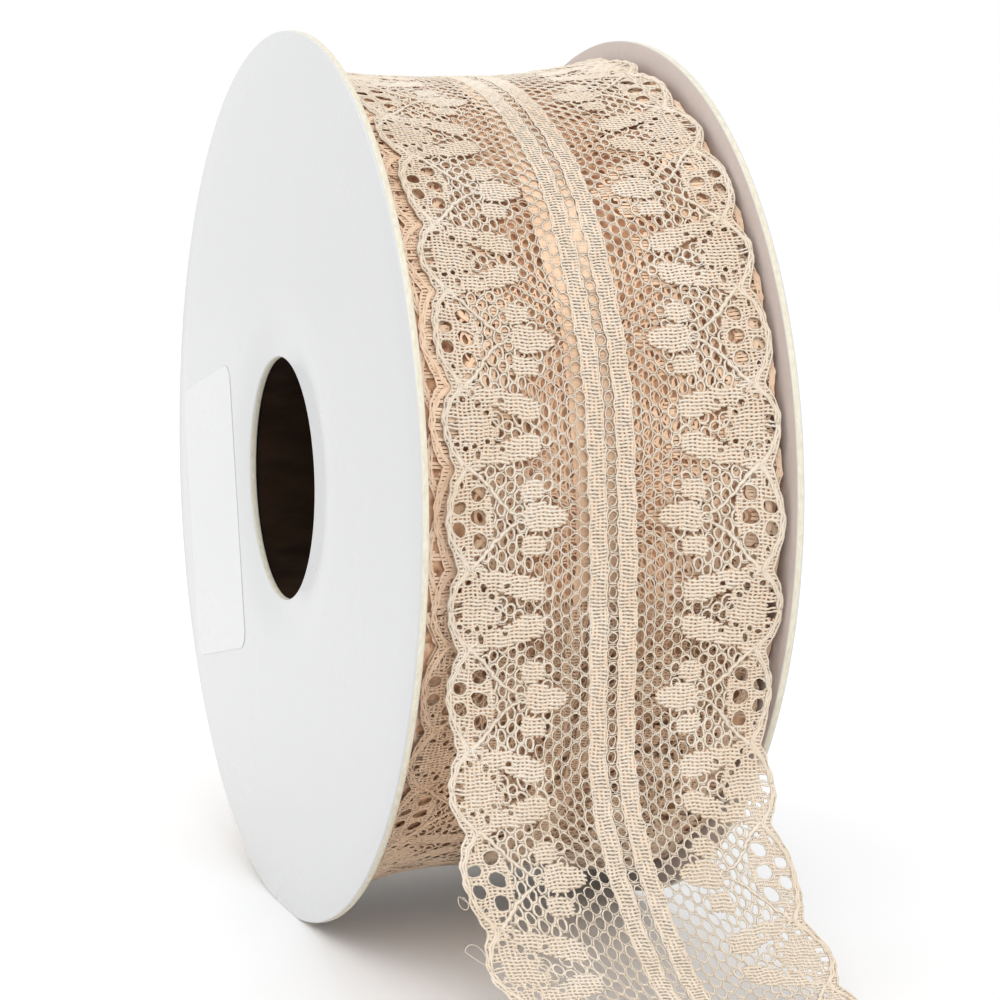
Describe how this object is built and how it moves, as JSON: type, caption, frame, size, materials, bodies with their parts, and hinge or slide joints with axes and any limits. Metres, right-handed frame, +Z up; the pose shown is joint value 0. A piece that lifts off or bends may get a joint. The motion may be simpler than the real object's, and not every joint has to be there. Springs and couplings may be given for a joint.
{
  "type": "spool of lace ribbon",
  "caption": "Wide cream lace ribbon with scalloped edges, wound on a white board spool with an open core, its loose end coming down in front",
  "frame": {"origin": "Bottom centre of the bounding box, at the surface that both flanges stand on.", "axes": "+Z is up. The spool's axis runs along X. The loose end comes down on the -Y side and lies towards -Y, and the flange with the sticker faces -X."},
  "size_m": [0.0592, 0.1888, 0.1356],
  "materials": {
    "coated_board": "white coated paperboard with a satin gloss and a cream cut edge",
    "kraft_board": "brown matt paperboard",
    "lace": "cream thread lace, matt with a slight sheen",
    "sticker": "blank white sticker, glossy"
  },
  "bodies": {
    "root": {"flange_near": "coated_board", "flange_far": "coated_board", "core_tube": "kraft_board", "lace_roll": "lace", "lace_end": "lace", "label": "sticker"}
  },
  "joints": []
}
